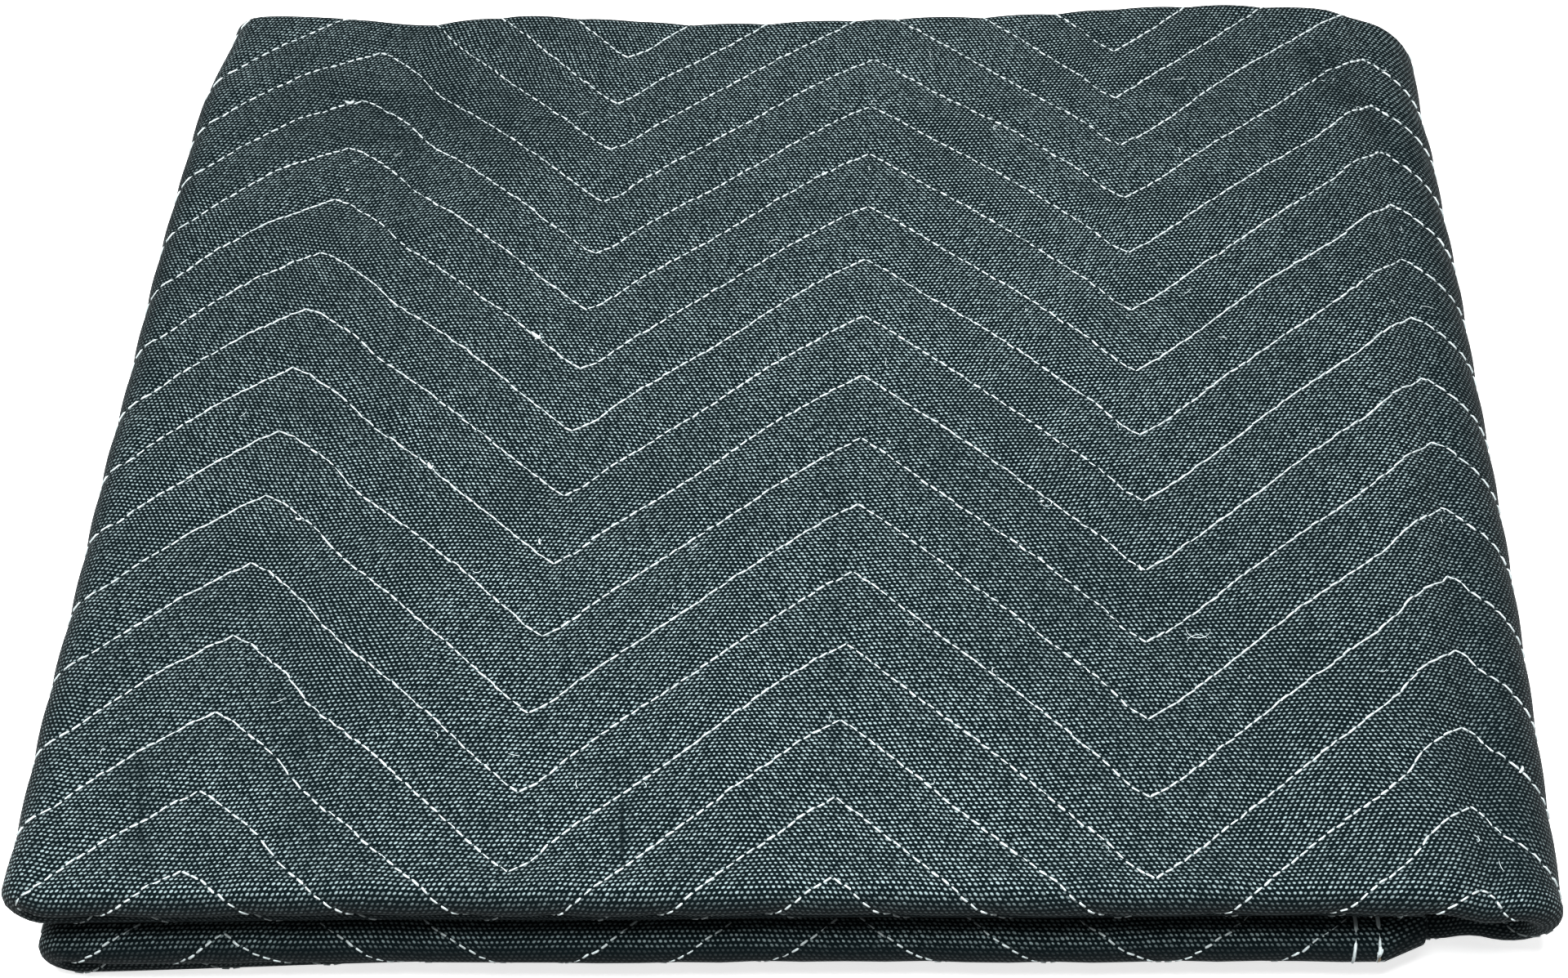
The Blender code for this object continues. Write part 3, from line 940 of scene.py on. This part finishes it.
def thread_piece(name, curve, material):
    """Mesh piece of the stitches drawn on a curve."""
    drawn = bpy.data.objects.new(name + "_line", curve)
    bpy.context.scene.collection.objects.link(drawn)
    bpy.context.view_layer.update()
    mesh = bpy.data.meshes.new_from_object(
        drawn.evaluated_get(bpy.context.evaluated_depsgraph_get()))
    bpy.data.objects.remove(drawn)
    bpy.data.curves.remove(curve)
    shape = bmesh.new()
    shape.from_mesh(mesh)
    bpy.data.meshes.remove(mesh)
    bmesh.ops.remove_doubles(shape, verts=shape.verts, dist=1e-7)
    bmesh.ops.recalc_face_normals(shape, faces=shape.faces)
    made = stand(name, shape, material)
    dress(made)
    return made


# Seam rows and zigzag columns that reach any part of the cloth, how near its ends they are
# sewn, how much a row wanders and how much a needle hole does.
SEAM_ROWS = range(-34, 24)
ZIGZAG_COLUMNS = range(-6, 18)
SEWN_U = (0.004, WIDE_LENGTH - 0.012)
SEWN_V = (0.030, DEEP_LENGTH)
ROW_WANDER = 0.00040
HOLE_WANDER = 0.00013


class BLANKET_OT_quilting(Operator):
    """Sew the zigzag quilting rows wherever the cloth's face shows"""

    bl_idname = "blanket.quilting"
    bl_label = "Quilting stitches"

    def execute(self, context):
        sizes = context.scene.blanket_sizes
        chance = random.Random(7)
        curve = thread_curve("quilting")
        for row in SEAM_ROWS:
            holes = []
            drift = chance.random() * 6
            for k in ZIGZAG_COLUMNS:
                start, end = seam_column(k, row)[0], seam_column(k + 1, row)[0]
                if end < 0 or start > WIDE_LENGTH:
                    continue
                count = round(math.hypot(end - start, ZIGZAG_DROP) / sizes.stitch_length)
                shares = [j / count for j in range(count)]
                if k == 0:
                    shares = [share for share in shares if not KINK_FROM < share < KINK_TO] + list(KINK)
                slack = 0.15 + 0.65 * chance.random() if k in (1, 2) else 0.25 * chance.random()
                for share in sorted(shares):
                    u = start + (end - start) * share + 1e-6
                    stray = min(1.0, 4 * min(share, 1 - share))
                    v = seam_v(u, row) + stray * ROW_WANDER * math.sin(u * 90 + drift)
                    v += chance.gauss(0, HOLE_WANDER)
                    if SEWN_U[0] < u < SEWN_U[1] and SEWN_V[0] < v < SEWN_V[1]:
                        holes.append((u, v, slack))
            sew(curve, holes, sizes, chance)
        white = sewing_thread("white_thread", context.scene.blanket_colours.thread)
        thread_piece("quilting_stitches", curve, white)
        return {"FINISHED"}


class BLANKET_OT_hem(Operator):
    """Sew the hem rows where they show at the front, with one knot and its tan tail"""

    bl_idname = "blanket.hem"
    bl_label = "Hem stitches"

    def execute(self, context):
        sizes = context.scene.blanket_sizes
        chance = random.Random(11)
        curve = thread_curve("hem")
        for from_end, far, lean, stitch, gap in HEM_ROWS:
            count = round((DEEP_LENGTH - 0.01) / stitch)
            holes = []
            for k in range(count):
                v = HEM_HOLE + (k - round(HEM_HOLE / stitch)) * stitch
                shown = min(HEM_SHOWN, max(-HEM_SHOWN, v - HEM_HOLE))
                u = from_end + lean * shown + chance.gauss(0, 0.0002)
                holes.append((WIDE_LENGTH - u if far else u, v, 0.0))
            sew(curve, holes, sizes, chance, width=HEM_THREAD, gap=gap)
        knot = WIDE_LENGTH - HEM_ROWS[2][0], DEEP_AT[2] - KNOT_DOWN
        for heading, length, curl in KNOT_STRANDS:
            strand(curve, *knot, math.radians(heading), length, KNOT_WIDTH, curl, sizes)
        colours = context.scene.blanket_colours
        # The hem thread is the thread colour made 1.3 times brighter, as painted light on stitches that sit
        # in the shade under the front folds.
        white = sewing_thread("hem_thread_brightened", [min(1.0, 1.3 * c) for c in colours.thread])
        thread_piece("hem_stitches", curve, white)
        curve = thread_curve("tail")
        end = knot[0] + 0.0003, knot[1] - TAIL_DOWN
        strand(curve, *end, math.radians(95), TAIL_LENGTH, TAIL_WIDTH, 0.6, sizes)
        thread_piece("thread_tail", curve, sewing_thread("tan_thread", colours.tail))
        return {"FINISHED"}


class BLANKET_OT_loose(Operator):
    """Knots and nubs of the sewing thread, and lint caught on the weave"""

    bl_idname = "blanket.loose"
    bl_label = "Knots and lint"

    def execute(self, context):
        sizes = context.scene.blanket_sizes
        chance = random.Random(23)
        curve = thread_curve("loose")
        for x, y, heading, length, width, curl, on_seam in LOOSE_ENDS:
            u, v = spot_on_top(x, y)
            if on_seam:
                v = seam_v(u, round(seam_rows(u, v)))
            strand(curve, u, v, math.radians(heading), length, width, curl, sizes)
        for _ in range(LINT_COUNT):
            u, v = spot_on_top(chance.uniform(-0.24, 0.25), chance.uniform(-0.20, 0.20))
            strand(
                curve, u, v, chance.uniform(0, 6.28), chance.uniform(*LINT_LENGTH),
                chance.uniform(*LINT_WIDTH), chance.uniform(-4, 4), sizes)
        white = bpy.data.materials["white_thread"]
        thread_piece("knots_and_lint", curve, white)
        return {"FINISHED"}


def strand(curve, u, v, heading, length, width, curl, sizes):
    """Short curled bit of thread lying on the cloth round a place."""
    steps = 7
    places = [(0.0, 0.0)]
    for k in range(steps):
        turn = heading + curl * (k / (steps - 1) - 0.5)
        last = places[-1]
        places.append((last[0] + length / steps * math.cos(turn), last[1] + length / steps * math.sin(turn)))
    middle = places[steps // 2]
    spline = curve.splines.new("POLY")
    spline.points.add(steps)
    for point, (a, b), k in zip(spline.points, places, range(steps + 1)):
        pu, pv = u + a - middle[0], v + b - middle[1]
        place = folded(pu, pv, CLOTH / 2 + relief(pu, pv, sizes.quilt_height) + width * 0.6)
        place.z -= sizes.crease_depth * shaded(place.x + BOX_MIDDLE[0], place.y + BOX_MIDDLE[1])
        point.co = (*place, 1.0)
        point.radius = width / 2 * (0.55 + 0.45 * math.sin(math.pi * (k + 0.4) / (steps + 0.8)))


# Light over the front edge, its aim, and the photo's camera.
SOFTBOX_PLACE = (-0.05, -0.36, 1.45)
SOFTBOX_SIZE = 0.8
SOFTBOX_POWER = 44.0
SOFTBOX_AIM = (0.0, 0.0, 0.03)
SKY_STRENGTH = 0.26
CAMERA_PLACE = (0.0603, -0.6808, 0.79155)
CAMERA_TURNS = ((5.4636, "Z"), (40.9193, "X"), (-3.8054, "Z"))
SENSOR_WIDTH = 36.0
LENS = 61.31
DISPLAY_GAMMA = 0.80


class BLANKET_OT_stage(Operator):
    """Pale floor, soft light and the camera"""

    bl_idname = "blanket.stage"
    bl_label = "Stage"

    def execute(self, context):
        sizes = context.scene.blanket_sizes
        colours = context.scene.blanket_colours
        shape = bmesh.new()
        bmesh.ops.create_grid(shape, x_segments=1, y_segments=1, size=sizes.floor_size / 2)
        floor = stand("floor", shape, plain_floor(colours.ground))
        floor.visible_diffuse = False

        light = bpy.data.lights.new("overhead_softbox", "AREA")
        light.shape = "DISK"
        light.size = SOFTBOX_SIZE
        light.energy = SOFTBOX_POWER
        lamp = bpy.data.objects.new("overhead_softbox", light)
        aim = (Vector(SOFTBOX_AIM) - Vector(SOFTBOX_PLACE)).to_track_quat("-Z", "Y")
        lamp.matrix_world = Matrix.Translation(SOFTBOX_PLACE) @ aim.to_matrix().to_4x4()
        context.scene.collection.objects.link(lamp)

        sky = bpy.data.worlds.new("studio")
        sky.use_nodes = True
        sky.node_tree.nodes["Background"].inputs["Color"].default_value = (1.0, 1.0, 1.0, 1.0)
        sky.node_tree.nodes["Background"].inputs["Strength"].default_value = SKY_STRENGTH
        context.scene.world = sky
        context.scene.view_settings.view_transform = "Standard"
        context.scene.view_settings.gamma = DISPLAY_GAMMA

        view = bpy.data.cameras.new("photo_view")
        view.sensor_width = SENSOR_WIDTH
        view.lens = LENS
        camera = bpy.data.objects.new("photo_view", view)
        x, y, z = CAMERA_PLACE
        placed = Matrix.Translation((x - BOX_MIDDLE[0], y - BOX_MIDDLE[1], z))
        for angle, axis in CAMERA_TURNS:
            placed = placed @ Matrix.Rotation(math.radians(angle), 4, axis)
        camera.matrix_world = placed
        context.scene.collection.objects.link(camera)
        context.scene.camera = camera
        return {"FINISHED"}


class BLANKET_PT_panel(Panel):
    bl_label = "Moving blanket"
    bl_idname = "BLANKET_PT_panel"
    bl_space_type = "VIEW_3D"
    bl_region_type = "UI"
    bl_category = "Blanket"

    def draw(self, context):
        column = self.layout.column()
        for group in (context.scene.blanket_sizes, context.scene.blanket_colours):
            for name in group.__annotations__:
                column.prop(group, name)
        for step in STEPS:
            column.operator(step.bl_idname)


STEPS = (BLANKET_OT_cloth, BLANKET_OT_quilting, BLANKET_OT_hem, BLANKET_OT_loose, BLANKET_OT_stage)
CLASSES = (BlanketSizes, BlanketColours) + STEPS + (BLANKET_PT_panel,)


def register():
    for kind in CLASSES:
        bpy.utils.register_class(kind)
    bpy.types.Scene.blanket_sizes = PointerProperty(type=BlanketSizes)
    bpy.types.Scene.blanket_colours = PointerProperty(type=BlanketColours)


def unregister():
    del bpy.types.Scene.blanket_colours
    del bpy.types.Scene.blanket_sizes
    for kind in reversed(CLASSES):
        bpy.utils.unregister_class(kind)


def main():
    register()
    bpy.ops.blanket.cloth()
    bpy.ops.blanket.quilting()
    bpy.ops.blanket.hem()
    bpy.ops.blanket.loose()
    bpy.ops.blanket.stage()


if __name__ == "__main__":
    main()
